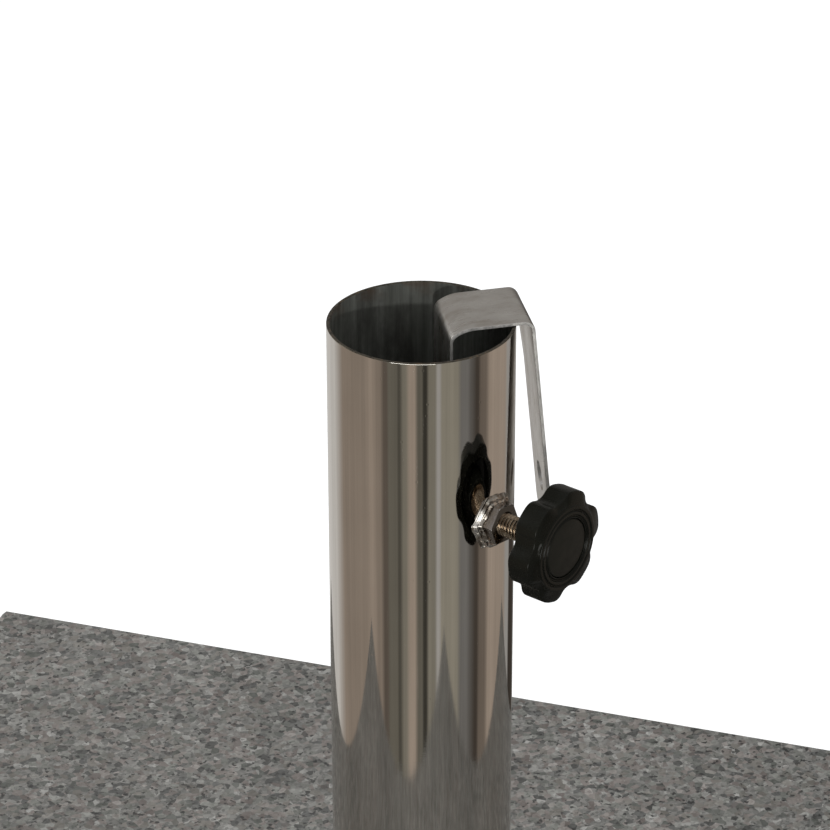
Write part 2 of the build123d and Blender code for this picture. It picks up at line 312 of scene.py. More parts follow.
class Shader:
    """Node tree of one material, with short calls for the nodes used here."""

    def __init__(self, name, **settings):
        self.material = bpy.data.materials.new(name)
        self.material.use_nodes = True
        self.tree = self.material.node_tree
        self.surface = self.tree.nodes["Principled BSDF"]
        self.place = self.add("ShaderNodeTexCoord").outputs["Object"]
        for socket, value in settings.items():
            self.surface.inputs[socket.replace("_", " ")].default_value = value

    def add(self, kind, **values):
        made = self.tree.nodes.new(kind)
        for key, value in values.items():
            setattr(made, key, value)
        return made

    def feed(self, made, **inputs):
        for socket, value in inputs.items():
            target = made.inputs[socket.replace("_", " ")]
            if isinstance(value, bpy.types.NodeSocket):
                self.tree.links.new(value, target)
            else:
                target.default_value = value
        return made

    def stretched(self, scale, place=None):
        """The place scaled along X, Y and Z."""
        mapping = self.feed(self.add("ShaderNodeMapping"), Vector=place or self.place, Scale=scale)
        return mapping.outputs["Vector"]

    def noise(self, scale, detail=3.0, roughness=0.55, place=None, distortion=0.0):
        texture = self.feed(
            self.add("ShaderNodeTexNoise"), Vector=place or self.place, Scale=scale, Detail=detail,
            Roughness=roughness, Distortion=distortion)
        return texture.outputs["Fac"]

    def cells(self, scale, output="Color", place=None):
        texture = self.feed(self.add("ShaderNodeTexVoronoi"), Vector=place or self.place, Scale=scale)
        return texture.outputs[output]

    def ramp(self, factor, stops):
        """Colour ramp; each stop is (position, grey or (r, g, b))."""
        made = self.add("ShaderNodeValToRGB")
        elements = made.color_ramp.elements
        while len(elements) < len(stops):
            elements.new(0.5)
        for element, (position, colour) in zip(elements, stops):
            element.position = position
            element.color = (*colour, 1) if isinstance(colour, tuple) else (colour, colour, colour, 1)
        self.tree.links.new(factor, made.inputs["Fac"])
        return made.outputs["Color"]

    def mix(self, factor, first, second, blend="MIX"):
        made = self.add("ShaderNodeMix", data_type="RGBA", blend_type=blend)
        for socket, value in ((made.inputs[0], factor), (made.inputs[6], first), (made.inputs[7], second)):
            if isinstance(value, bpy.types.NodeSocket):
                self.tree.links.new(value, socket)
            else:
                socket.default_value = (*value, 1) if isinstance(value, tuple) else value
        return made.outputs[2]

    def maths(self, operation, first, second):
        made = self.add("ShaderNodeMath", operation=operation)
        for index, value in enumerate((first, second)):
            if isinstance(value, bpy.types.NodeSocket):
                self.tree.links.new(value, made.inputs[index])
            else:
                made.inputs[index].default_value = value
        return made.outputs[0]

    def split(self, vector):
        return self.feed(self.add("ShaderNodeSeparateXYZ"), Vector=vector).outputs

    def unrolled(self, radius):
        """The place on a tube of a radius, unrolled flat, and the height as a socket."""
        x, y, z = self.split(self.place)[:3]
        flat = self.add("ShaderNodeCombineXYZ")
        self.feed(flat, X=self.maths("MULTIPLY", self.maths("ARCTAN2", y, x), radius), Z=z)
        return flat.outputs["Vector"], z

    def colour(self, value):
        self.tree.links.new(value, self.surface.inputs["Base Color"])
        return self

    def rough(self, value):
        self.tree.links.new(value, self.surface.inputs["Roughness"])
        return self

    def bump(self, height, strength, distance):
        """Adds a bump layer on top of any earlier one."""
        made = self.feed(self.add("ShaderNodeBump"), Height=height, Strength=strength, Distance=distance)
        normal = self.surface.inputs["Normal"]
        if normal.links:
            self.tree.links.new(normal.links[0].from_socket, made.inputs["Normal"])
        self.tree.links.new(made.outputs["Normal"], normal)
        return self


# ---- materials

def granite():
    """Honed grey granite: pale feldspar, smoky quartz and dark mica grains, two to three millimetres."""
    s = Shader("granite", Specular_IOR_Level=0.35)
    wobble = s.feed(s.add("ShaderNodeVectorMath", operation="SCALE"), Scale=0.0016)
    waves = s.feed(s.add("ShaderNodeTexNoise"), Vector=s.place, Scale=300.0, Detail=2.0)
    s.tree.links.new(waves.outputs["Color"], wobble.inputs[0])
    shifted = s.add("ShaderNodeVectorMath", operation="ADD")
    s.tree.links.new(s.place, shifted.inputs[0])
    s.tree.links.new(wobble.outputs[0], shifted.inputs[1])
    place = shifted.outputs[0]
    grain = s.split(s.cells(330, place=place))
    fine = s.split(s.cells(760, place=place))
    stone = s.ramp(grain[0], (
        (0.0, (0.052, 0.052, 0.049)), (0.16, (0.078, 0.078, 0.075)), (0.34, (0.110, 0.109, 0.102)),
        (0.55, (0.128, 0.124, 0.116)), (0.74, (0.145, 0.142, 0.133)), (0.9, (0.178, 0.176, 0.164)),
        (1.0, (0.222, 0.218, 0.206))))
    small = s.ramp(fine[1], ((0.0, 0.5), (0.25, 0.85), (0.6, 1.05), (1.0, 1.35)))
    stone = s.mix(0.75, stone, small, "MULTIPLY")
    pink = s.ramp(grain[1], ((0.62, 0.0), (0.72, 1.0)))
    stone = s.mix(s.maths("MULTIPLY", pink, 0.35), stone, (0.165, 0.128, 0.115))
    green = s.ramp(grain[2], ((0.66, 0.0), (0.78, 1.0)))
    stone = s.mix(s.maths("MULTIPLY", green, 0.28), stone, (0.098, 0.108, 0.09))
    mica = s.ramp(fine[0], ((0.0, 1.0), (0.13, 1.0), (0.17, 0.0)))
    mica = s.maths("MULTIPLY", mica, s.ramp(s.noise(260, 2, 0.5), ((0.46, 0.0), (0.56, 1.0))))
    stone = s.mix(s.maths("MULTIPLY", mica, 0.85), stone, (0.02, 0.02, 0.02))
    cloud = s.ramp(s.noise(14, 3), ((0.3, 0.9), (0.7, 1.08)))
    stone = s.mix(1.0, stone, cloud, "MULTIPLY")
    s.colour(stone)
    s.rough(s.ramp(fine[2], ((0.0, 0.42), (1.0, 0.62))))
    s.bump(s.noise(900, 3, 0.6), 0.25, 0.0002)
    s.bump(mica, -0.3, 0.00015)
    return s.material


def polished_steel():
    """Mirror-polished stainless steel: drawn streaks, faint buffing marks round it, specks and smears."""
    s = Shader("polished_steel", Metallic=1.0)
    around, _ = s.unrolled(0.032)
    smear = s.noise(38, 4, 0.6, s.stretched((1, 1, 0.35), around))
    drawn = s.ramp(s.noise(420, 3, 0.6, s.stretched((1, 1, 0.012), around)), ((0.3, 0.88), (0.7, 1.06)))
    metal = s.ramp(smear, ((0.3, (0.60, 0.575, 0.54)), (0.7, (0.69, 0.665, 0.63))))
    s.colour(s.mix(1.0, metal, drawn, "MULTIPLY"))
    marks = s.noise(60, 2, 0.5, s.stretched((2.0, 1, 48), around))
    patch = s.ramp(s.noise(26, 2, 0.5, around), ((0.42, 0.15), (0.62, 1.0)))
    s.bump(s.maths("MULTIPLY", marks, patch), 0.10, 0.00004)
    s.bump(s.noise(22, 2, 0.5, s.stretched((1.6, 1, 0.25), around)), 0.12, 0.0006)
    specks = s.ramp(s.cells(210, "Distance", around), ((0.0, 0.0), (0.045, 0.0), (0.085, 1.0)))
    s.bump(specks, 0.08, 0.00008)
    scratches = s.ramp(
        s.noise(95, 2, 0.4, s.stretched((11, 1, 0.5), around)), ((0.66, 0.0), (0.72, 1.0)))
    grime = s.ramp(smear, ((0.35, 0.035), (0.75, 0.075)))
    s.rough(s.maths("ADD", grime, s.maths("MULTIPLY", scratches, 0.08)))
    return s.material


def tube_inside():
    """Unpolished inside of the tube: dull grey with drawn streaks and brown stains near the rim."""
    s = Shader("tube_inside", Metallic=0.75)
    around, z = s.unrolled(0.031)
    streak = s.noise(240, 4, 0.65, s.stretched((1, 1, 0.06), around))
    blot = s.noise(70, 4, 0.6, s.stretched((1, 1, 0.5), around))
    base = s.ramp(streak, (
        (0.28, (0.07, 0.073, 0.064)), (0.5, (0.145, 0.15, 0.135)), (0.72, (0.26, 0.267, 0.245))))
    base = s.mix(s.ramp(blot, ((0.5, 0.0), (0.68, 0.75))), base, (0.045, 0.043, 0.04))
    near_rim = s.ramp(s.maths("MULTIPLY", s.maths("SUBTRACT", RIM, z), 150.0), ((0.0, 1.0), (0.9, 0.0)))
    rust = s.maths("MULTIPLY", near_rim, s.ramp(s.noise(110, 3, 0.6, around), ((0.47, 0.0), (0.6, 1.0))))
    base = s.mix(s.maths("MULTIPLY", rust, 0.45), base, (0.11, 0.055, 0.028))
    s.colour(base)
    s.rough(s.ramp(blot, ((0.3, 0.5), (0.7, 0.75))))
    s.bump(streak, 0.3, 0.0001)
    return s.material


def cut_edge():
    """Sawn and deburred rim of the tube, with a few brown specks."""
    s = Shader("cut_edge", Metallic=1.0)
    speck = s.noise(420, 3, 0.6)
    s.colour(s.ramp(speck, (
        (0.35, (0.05, 0.045, 0.035)), (0.6, (0.13, 0.115, 0.09)), (0.72, (0.24, 0.17, 0.11)))))
    s.rough(s.ramp(speck, ((0.3, 0.2), (0.7, 0.45))))
    s.bump(s.noise(1500, 2), 0.3, 0.00005)
    return s.material


def satin_steel():
    """Satin strip: a fine directional grind with soft blotches."""
    s = Shader("satin_steel", Metallic=1.0)
    turned = s.feed(s.add("ShaderNodeMapping"), Vector=s.place, Rotation=(0, 0, -CLIP_AZIMUTH))
    along = turned.outputs["Vector"]
    blotch = s.noise(150, 4, 0.6, s.stretched((0.5, 1.0, 0.5), along))
    grind = s.noise(900, 3, 0.65, s.stretched((0.12, 1.6, 0.12), along))
    s.colour(s.ramp(blotch, (
        (0.32, (0.42, 0.385, 0.345)), (0.5, (0.55, 0.53, 0.505)), (0.68, (0.63, 0.615, 0.59)))))
    s.rough(s.ramp(grind, ((0.3, 0.24), (0.7, 0.42))))
    s.bump(grind, 0.22, 0.00006)
    s.bump(blotch, 0.10, 0.0002)
    return s.material


def sheared_edge():
    """Sheared edge of the strip: dull, torn and a little rough."""
    s = Shader("sheared_edge", Metallic=0.55)
    torn = s.noise(700, 3, 0.6, s.stretched((1, 1, 0.3)))
    s.colour(s.ramp(torn, ((0.35, (0.22, 0.215, 0.205)), (0.65, (0.42, 0.41, 0.39)))))
    s.rough(s.ramp(torn, ((0.3, 0.4), (0.7, 0.6))))
    s.bump(torn, 0.2, 0.0001)
    return s.material


def nut_steel(name, low, high, rough_low, rough_high):
    """Bright nut steel; low and high are its colours near the weld and at its front."""
    s = Shader(name, Metallic=1.0)
    depth = s.add("ShaderNodeVectorMath", operation="DOT_PRODUCT")
    s.tree.links.new(s.place, depth.inputs[0])
    depth.inputs[1].default_value = SCREW_OUT
    blur = s.maths("MULTIPLY", s.maths("SUBTRACT", s.noise(500, 3), 0.5), 0.006)
    heat = s.maths("ADD", depth.outputs["Value"], blur)
    heat = s.maths("MULTIPLY", s.maths("SUBTRACT", heat, NUT_BACK), 1 / (NUT_FRONT - NUT_BACK))
    s.colour(s.ramp(heat, ((0.3, low), (0.9, high))))
    s.rough(s.ramp(s.noise(700, 4, 0.6), ((0.35, rough_low), (0.7, rough_high))))
    s.bump(s.noise(900, 4, 0.6), 0.06, 0.0001)
    s.bump(s.noise(260, 2), 0.06, 0.0002)
    return s.material


def weld_steel():
    """Unground weld metal: smooth bright puddles, brown and blue tints, matt scale in places."""
    s = Shader("weld_steel", Metallic=1.0)
    tint = s.noise(190, 3, 0.55, distortion=0.6)
    s.colour(s.ramp(tint, (
        (0.32, (0.07, 0.058, 0.048)), (0.44, (0.22, 0.185, 0.155)), (0.54, (0.52, 0.49, 0.45)),
        (0.64, (0.62, 0.60, 0.58)), (0.76, (0.24, 0.23, 0.26)))))
    s.rough(s.ramp(s.noise(320, 3), ((0.4, 0.10), (0.62, 0.42))))
    s.bump(s.noise(1100, 3, 0.6), 0.15, 0.0001)
    s.bump(s.noise(380, 2, 0.5), 0.18, 0.0003)
    return s.material


def thread_steel():
    """Rolled thread with a blotchy bronze tint."""
    s = Shader("thread_steel", Metallic=1.0)
    blotch = s.noise(420, 3)
    s.colour(s.ramp(blotch, ((0.35, (0.22, 0.165, 0.115)), (0.65, (0.50, 0.41, 0.31)))))
    s.rough(s.ramp(s.noise(1500, 3), ((0.35, 0.16), (0.7, 0.34))))
    s.bump(s.noise(2400, 3), 0.2, 0.00006)
    return s.material


def moulded_plastic(name, low, high, rough_low, rough_high, grain):
    """Black moulded plastic with a fine grain and faint flow marks."""
    s = Shader(name, IOR=1.5, Specular_IOR_Level=0.13)
    flow = s.noise(90, 3, 0.6)
    s.colour(s.ramp(flow, ((0.3, low), (0.7, high))))
    s.rough(s.ramp(s.noise(260, 3, 0.6), ((0.3, rough_low), (0.7, rough_high))))
    s.bump(s.noise(2600, 3, 0.6), grain, 0.00006)
    s.bump(s.noise(160, 2, 0.5), 0.08, 0.0003)
    return s.material


def rubber(name, tone):
    """Black rubber, dusty and slightly mottled."""
    s = Shader(name, Specular_IOR_Level=0.3)
    mottle = s.noise(140, 4, 0.6)
    s.colour(s.ramp(mottle, ((0.3, tone), (0.75, tuple(2.2 * channel for channel in tone)))))
    s.rough(s.ramp(mottle, ((0.3, 0.7), (0.7, 0.9))))
    s.bump(s.noise(1100, 4, 0.65), 0.4, 0.0002)
    return s.material


def plated_steel(name, dark, light):
    """Zinc-plated or plain machined steel: cloudy crystals and small scuffs."""
    s = Shader(name, Metallic=1.0)
    crystal = s.noise(260, 4, 0.6, distortion=0.6)
    s.colour(s.ramp(crystal, ((0.3, dark), (0.7, light))))
    s.rough(s.ramp(s.noise(520, 3), ((0.3, 0.28), (0.7, 0.48))))
    s.bump(s.noise(900, 3), 0.2, 0.0001)
    return s.material


def nylon():
    """Grey nylon plugs."""
    s = Shader("nylon", Specular_IOR_Level=0.4)
    s.colour(s.ramp(s.noise(120, 2), ((0.3, (0.30, 0.30, 0.30)), (0.7, (0.38, 0.38, 0.37)))))
    s.rough(s.ramp(s.noise(500, 2), ((0.3, 0.45), (0.7, 0.6))))
    s.bump(s.noise(1400, 2), 0.2, 0.0001)
    return s.material


# ---- pieces

def make_tube(outside, edge, inside):
    """Tube with a deburred rim and the nut's hole, its reflections kept true by exact normals."""
    outer_rows, inner_rows = 80, 12
    inner = TUBE_R - WALL
    soft = RIM_SOFT
    bend = RIM - soft
    tall = bend - TUBE_LOW.z
    rows = [(TUBE_R, TUBE_LOW.z + tall * step / outer_rows) for step in range(outer_rows + 1)]
    rows += arc((TUBE_R - soft, bend), soft, 0, 90, 4)[1:]
    rows += arc((inner + soft, bend), soft, 90, 180, 4)
    rows += [(inner, bend - tall * step / inner_rows) for step in range(1, inner_rows + 1)]
    tube = lathe("tube", rows, 288, crease=60)
    near, far = TUBE_R / 2, TUBE_R * 1.3
    cutter = lathe("cutter", [(0.0, near), (NUT_HOLE_R, near), (NUT_HOLE_R, far), (0.0, far)], 64)
    cut(tube, move_mesh(cutter, screw_matrix()))
    mesh = tube.data
    for material in (outside, edge, inside):
        mesh.materials.append(material)
    for polygon in mesh.polygons:
        reach = polygon.center.xy.length
        on_rim = polygon.center.z > RIM - soft * 0.9 and inner + 0.1 * soft < reach < TUBE_R - 0.1 * soft
        polygon.material_index = 1 if on_rim else 0 if reach > TUBE_R - 0.3 * WALL else 2
        polygon.use_smooth = True
    normals = []
    for loop in mesh.loops:
        place = mesh.vertices[loop.vertex_index].co
        reach = place.xy.length
        outward = Vector((place.x, place.y, 0)) / reach
        if place.z > RIM - soft * 1.01:
            on_outer_arc = reach > TUBE_R - WALL / 2
            past_ring = reach - (TUBE_R - soft if on_outer_arc else inner + soft)
            side = Vector((past_ring, place.z - bend))
            on_arc = past_ring * (1 if on_outer_arc else -1) >= -0.1 * AXIS_REACH
            side = side.normalized() if on_arc and side.length > 0 else Vector((0, 1))
            normals.append(outward * side.x + UP * side.y)
        elif abs(reach - TUBE_R) < 0.05 * MM:
            normals.append(outward)
        else:
            normals.append(-outward)
    mesh.normals_split_custom_set(normals)
    return finish_piece(tube, "root", ["upright_tube"], "polished_stainless")


def make_nut(side, front, edge):
    """Hexagon nut with turned-down corners, softened edges and a countersunk thread."""
    corner = NUT_FLATS / 2 / math.cos(math.pi / 6)
    drop = (corner - NUT_FLATS / 2) * math.tan(math.radians(30))
    hexagon = lathe("nut", [(corner, NUT_BACK), (corner, NUT_FRONT), (0.0, NUT_FRONT), (0.0, NUT_BACK)], 6)
    move_mesh(hexagon, Matrix.Rotation(NUT_TURN, 4, "Z"))
    past = corner * 1.02
    front_r = corner - NUT_FRONT_DROP
    cone = lathe("cone", [
        (0.0, NUT_BACK), (NUT_FLATS / 2, NUT_BACK), (past, NUT_BACK + drop * 1.05),
        (past, NUT_FRONT - (past - front_r) / 2), (front_r, NUT_FRONT), (0.0, NUT_FRONT)], 72)
    cut(hexagon, cone, "INTERSECT")
    bore = THREAD_R * BORE_FIT
    mouth = bore + 1.7 * NUT_SINK
    drill = lathe("drill", [
        (0.0, NUT_BACK - NUT_SINK), (mouth, NUT_BACK - NUT_SINK), (bore, NUT_BACK + 0.7 * NUT_SINK),
        (bore, NUT_FRONT - 0.7 * NUT_SINK), (mouth, NUT_FRONT + NUT_SINK), (0.0, NUT_FRONT + NUT_SINK)], 64)
    cut(hexagon, drill)
    bevel(hexagon, NUT_EDGE, 2, 25)
    shade(hexagon, 50)
    for polygon in hexagon.data.polygons:
        normal = polygon.normal
        within = (math.atan2(normal.y, normal.x) - NUT_TURN) % (math.pi / 3) - math.pi / 6
        flat_side = abs(normal.z) < 0.05 and abs(within) < 0.05 and polygon.center.xy.length > THREAD_R * 1.3
        flat_front = normal.z > 0.99 or polygon.center.xy.length < THREAD_R * 1.2
        # The front face and the bore take a very dark copy of the steel, which is painted shade; the bevels
        # and corners take a pale copy, which is a painted highlight along the edges.
        polygon.material_index = 0 if flat_side else 1 if flat_front else 2
    move_mesh(hexagon, screw_matrix())
    return finish_piece(hexagon, "root", ["clamp_nut"], "nut_steel", side, front, edge)


def hexagon_reach(angle):
    """Distance from the nut's middle to its side at an angle."""
    within = (angle - NUT_TURN) % (math.pi / 3) - math.pi / 6
    return NUT_FLATS / 2 / math.cos(within)


def tube_ground(side):
    """Depth along the screw's axis of the tube's surface, a distance to the side of that axis."""
    return math.sqrt(TUBE_R ** 2 - side ** 2)


def make_weld(material):
    """Puddled bead round the nut's foot, with ridges along its side and grit below."""
    around, across = 240, 26
    vertices = []
    for row in range(around):
        angle = 2 * math.pi * row / around
        below = max(0.0, -math.cos(angle))
        spot = Vector((math.cos(angle), math.sin(angle), 0.0))
        ripple = 0.5 + 0.5 * math.cos(angle * 13 + 1.8 * math.sin(angle * 2 + 1))
        lump = noise.noise(2.1 * spot + Vector((0, 0, 0.4)))
        width = WELD_WIDTH + (0.8 * lump + 0.25 * ripple) * MM
        swell = noise.noise(2.6 * spot + Vector((0, 0, 4.0)))
        height = WELD_HEIGHT + (0.35 * swell + 0.22 * ripple) * MM
        runs = 0.1 + 0.24 * max(0.0, math.sin(angle))
        start = hexagon_reach(angle) - WELD_OVERLAP
        for column in range(across + 1):
            share = column / across
            reach = start + (width + WELD_OVERLAP) * share
            ridges = 1 - runs + runs * math.cos(WELD_RUN_WAVES * (share - 0.16))
            grit = noise.noise(900 * reach * spot + Vector((0, 0, 1.0)))
            lift = height * math.sqrt(1 - share ** 3) * ridges * (1 + (0.05 + 0.22 * below) * grit) - 0.1 * MM
            vertices.append((*(reach * spot.xy), tube_ground(reach * spot.y) + lift))
        foot = start + width
        vertices.append((*(foot * spot.xy), tube_ground(foot * spot.y) - WELD_ROOT))
        vertices.append((*(start * spot.xy), NUT_BACK + 1.6 * MM))
    faces = strip_faces(around, across + 3, close_rows=True)
    weld = new_object("weld", vertices, [tuple(reversed(face)) for face in faces], 70)
    move_mesh(weld, screw_matrix())
    return finish_piece(weld, "root", ["clamp_nut_weld"], "weld_steel", material)


def make_screw(material):
    """M8 stud with a real helical thread, its end chamfered to a plain dog point."""
    segments = 48
    crest, root = THREAD_R, THREAD_R - THREAD_DEPTH
    shoulder, fillet = crest - 0.06 * MM, root + 0.08 * MM
    profile = ((0.0, crest), (0.07, crest), (0.14, shoulder), (0.42, fillet), (0.5, root),
               (0.58, fillet), (0.86, shoulder), (0.93, crest))
    start, end = STUD_BODY, HUB_BACK + 3 * MM
    turns = math.ceil((end - start) / THREAD_PITCH) + 1
    vertices = []
    for turn in range(turns):
        for share, radius in profile:
            for segment in range(segments):
                angle = 2 * math.pi * segment / segments
                height = start + (turn - 1 + share + segment / segments) * THREAD_PITCH
                chamfer = DOG_R + 1.2 * MM + max(0.0, height - start)
                here = min(max(height, start), end)
                reach = min(radius, chamfer)
                vertices.append((reach * math.cos(angle), reach * math.sin(angle), here))
    per_turn = len(profile)
    rows = turns * per_turn
    faces = []
    for row in range(rows - 1):
        for segment in range(segments):
            beside = (segment + 1) % segments
            hop = 0 if beside else per_turn
            if row + 1 + hop < rows:
                faces.append((row * segments + segment, (row + hop) * segments + beside,
                              (row + 1 + hop) * segments + beside, (row + 1) * segments + segment))
    stud = new_object("clamp_screw_thread", vertices, faces, 60)
    bm = bmesh.new()
    bm.from_mesh(stud.data)
    bmesh.ops.remove_doubles(bm, verts=bm.verts, dist=AXIS_REACH / 2)
    bmesh.ops.dissolve_degenerate(bm, edges=bm.edges, dist=AXIS_REACH / 2)
    bmesh.ops.holes_fill(bm, edges=[edge for edge in bm.edges if edge.is_boundary], sides=0)
    bmesh.ops.recalc_face_normals(bm, faces=bm.faces)
    bm.to_mesh(stud.data)
    bm.free()
    shade(stud, 55)
    dog_end = start + 0.3 * MM
    dog = lathe("dog", rounded([
        (0.0, STUD_TIP, 0), (DOG_R, STUD_TIP, DOG_EDGE), (DOG_R, dog_end, 0), (0.0, dog_end, 0)]), 40)
    merged = join([stud, dog])
    move_mesh(merged, screw_matrix())
    merged.name = "clamp_screw_threaded"
    return finish_piece(merged, "knob", ["clamp_screw"], "screw_steel", material)


def join(pieces):
    """Joins mesh objects into the first of them."""
    bm = bmesh.new()
    for piece in pieces:
        bm.from_mesh(piece.data)
    mesh = bpy.data.meshes.new(pieces[0].name)
    bm.to_mesh(mesh)
    bm.free()
    keep = pieces[0]
    keep.data = mesh
    for piece in pieces[1:]:
        bpy.data.objects.remove(piece)
    return shade(keep, 50)


def star_reach(angle):
    """Radius of the knob's outline: lobe arc, rounding and scallop in turn."""
    half = math.pi / LOBES
    within = abs((angle - LOBE_TURN + half) % (2 * half) - half)
    scallop = KNOB_R - SCALLOP_DEPTH + SCALLOP_R
    blend = KNOB_R - LOBE_ROUND
    apart = SCALLOP_R + LOBE_ROUND
    opening = math.acos((scallop ** 2 + blend ** 2 - apart ** 2) / (2 * scallop * blend))
    centre = half - opening
    if within <= centre:
        return KNOB_R
    rounding = Vector((blend * math.cos(centre), blend * math.sin(centre)))
    valley = Vector((scallop * math.cos(half), scallop * math.sin(half)))
    touch = rounding + (valley - rounding) * (LOBE_ROUND / apart)
    if within <= math.atan2(touch.y, touch.x):
        swing = within - centre
        return blend * math.cos(swing) + math.sqrt(LOBE_ROUND ** 2 - (blend * math.sin(swing)) ** 2)
    swing = half - within
    return scallop * math.cos(swing) - math.sqrt(SCALLOP_R ** 2 - (scallop * math.sin(swing)) ** 2)


def knob_profile():
    """Closed section of the knob: (radius, depth, share of the star outline that it follows)."""
    shoulder = KNOB_FACE - KNOB_SHOULDER
    wall = KNOB_R

    def bend(radius, depth, size, start, end, steps, follow):
        return [(r, h, follow) for r, h in arc((radius, depth), size, start, end, steps)]

    section = [(INSERT_R, HUB_BACK, 0), (HUB_R - HUB_EDGE, HUB_BACK, 0)]
    section += bend(HUB_R - HUB_EDGE, HUB_BACK + HUB_EDGE, HUB_EDGE, -90, 0, 4, 0)
    section += [(HUB_R + 0.2 * MM, POCKET_FLOOR - 0.6 * MM, 0), (HUB_R + 0.7 * MM, POCKET_FLOOR, 0)]
    section += [(POCKET_OUT - 0.7 * MM, POCKET_FLOOR, 0.0), (POCKET_OUT, POCKET_FLOOR - 0.7 * MM, 0.1)]
    section += [(POCKET_OUT + 0.2 * MM, LOBE_BACK + 0.5 * MM, 0.15), (POCKET_OUT + 0.7 * MM, LOBE_BACK, 0.2)]
    section += [(wall - 2.2 * MM, LOBE_BACK, 0.9)]
    section += bend(wall - KNOB_BACK_EDGE, LOBE_BACK + KNOB_BACK_EDGE, KNOB_BACK_EDGE, -90, 0, 6, 1)
    section += [(wall, LOBE_BACK + (shoulder - LOBE_BACK) * share, 1) for share in (0.35, 0.5, 0.65)]
    section += bend(wall - KNOB_FRONT_EDGE, shoulder - KNOB_FRONT_EDGE, KNOB_FRONT_EDGE, 0, 60, 6, 1)
    section += [(wall - 1.3 * MM, shoulder + 0.35 * MM, 0.98), (LOBE_FRONT_R, shoulder + 0.6 * MM, 0.9)]
    section += [(FACE_R + 1.3 * MM, shoulder + 0.95 * MM, 0.5)]
    section += [(FACE_R + 0.45 * MM, KNOB_FACE - 0.42 * MM, 0.08)]
    section += bend(FACE_R - FACE_EDGE, KNOB_FACE - FACE_EDGE, FACE_EDGE, 10, 90, 5, 0)
    for middle in FACE_GROOVES_R:
        for step in range(-5, 6):
            hollow = GROOVE_DEPTH * math.cos(step / 5 * math.pi / 2) ** 1.4
            section.append((middle - GROOVE_HALF * step / 5, KNOB_FACE - hollow, 0))
    lip = CAP_R + CAP_FIT
    section += bend(lip + 0.3 * MM, KNOB_FACE - 0.45 * MM, 0.3 * MM, 90, 180, 5, 0)
    section += [(lip, CAP_BACK, 0), (INSERT_R, CAP_BACK, 0), (CENTRE_R, CAP_BACK, 0)]
    section += [(CENTRE_R, INSERT_FRONT, 0), (INSERT_R, INSERT_FRONT, 0)]
    return section


def make_knob(material):
    """Six-lobed star knob with a hollow back, rounded lobes and a stepped face."""
    segments = 420
    vertices = []
    for radius, depth, follow in knob_profile():
        front = depth > (LOBE_BACK + KNOB_FACE) / 2
        for segment in range(segments):
            angle = 2 * math.pi * segment / segments
            dip = follow * (1 - star_reach(angle) / KNOB_R)
            sag = FACE_SAG * dip / VALLEY_DIP
            reach = radius * (1 - dip)
            vertices.append((reach * math.cos(angle), reach * math.sin(angle),
                             depth - (sag if front else -0.4 * sag)))
    faces = strip_faces(len(knob_profile()), segments, close_rows=True)
    knob = new_object("star_knob", vertices, faces, 42)
    move_mesh(knob, screw_matrix())
    return finish_piece(knob, "knob", ["knob_body"], "knob_plastic", material)


def make_cap(material):
    """Round cap in the knob's face: slightly crowned, with a rounded rim."""
    edge, low_edge, rings = CAP_EDGE, 0.1 * MM, 15
    outline = [(0.0, CAP_BACK), (CAP_R - low_edge, CAP_BACK), (CAP_R, CAP_BACK + low_edge)]
    rim = KNOB_FACE - CAP_SINK
    outline += arc((CAP_R - edge, rim - edge), edge, 0, 80, 6)
    crown = CAP_CROWN - 0.1 * MM
    for ring in range(1, rings + 1):
        share = 1 - ring / rings
        outline.append(((CAP_R - 1.2 * edge) * share, rim + (crown - rim) * (1 - share ** 2)))
    cap = lathe("face_cap", outline, 160, 50)
    move_mesh(cap, screw_matrix())
    return finish_piece(cap, "knob", ["knob_cap"], "cap_plastic", material)


def clip_path():
    """Outer face of the bent strip, side view: (reach, height) points from the inner leg's end."""
    fall_start = CLIP_INNER_LEG + CLIP_FALL_RUN

    def top(reach):
        return (reach - CLIP_REST) * math.tan(CLIP_TILT) + CLIP_THICK / math.cos(CLIP_TILT)

    leg_end = CLIP_CORNER + (top(CLIP_CORNER) + CLIP_DROP) * math.tan(CLIP_LEAN)
    bends = rounded([
        (CLIP_INNER_LEG, -CLIP_DROP, 0),
        (CLIP_INNER_LEG, top(fall_start) - CLIP_FALL_RUN * math.tan(CLIP_FALL), CLIP_INNER_BEND),
        (fall_start, top(fall_start), CLIP_TOP_BEND), (CLIP_CORNER, top(CLIP_CORNER), CLIP_OUTER_BEND),
        (leg_end, -CLIP_DROP, 0)], 14)
    points = [Vector(bends[0])]
    for before, after in zip(bends, bends[1:]):
        step = Vector(after) - Vector(before)
        pieces = max(1, round(step.length / (3 * MM)))
        points += [Vector(before) + step * (piece + 1) / pieces for piece in range(pieces)]
    return points


def path_place(path, lengths, station):
    """Point and outward direction of the strip's outer face at a length along it."""
    def point(length):
        length = min(max(length, 0.0), lengths[-1])
        index = max(i for i in range(len(path) - 1) if lengths[i] <= length)
        share = (length - lengths[index]) / (lengths[index + 1] - lengths[index])
        return path[index].lerp(path[index + 1], share)

    along = (point(station + 0.2 * MM) - point(station - 0.2 * MM)).normalized()
    return point(station), Vector((-along.y, along.x))


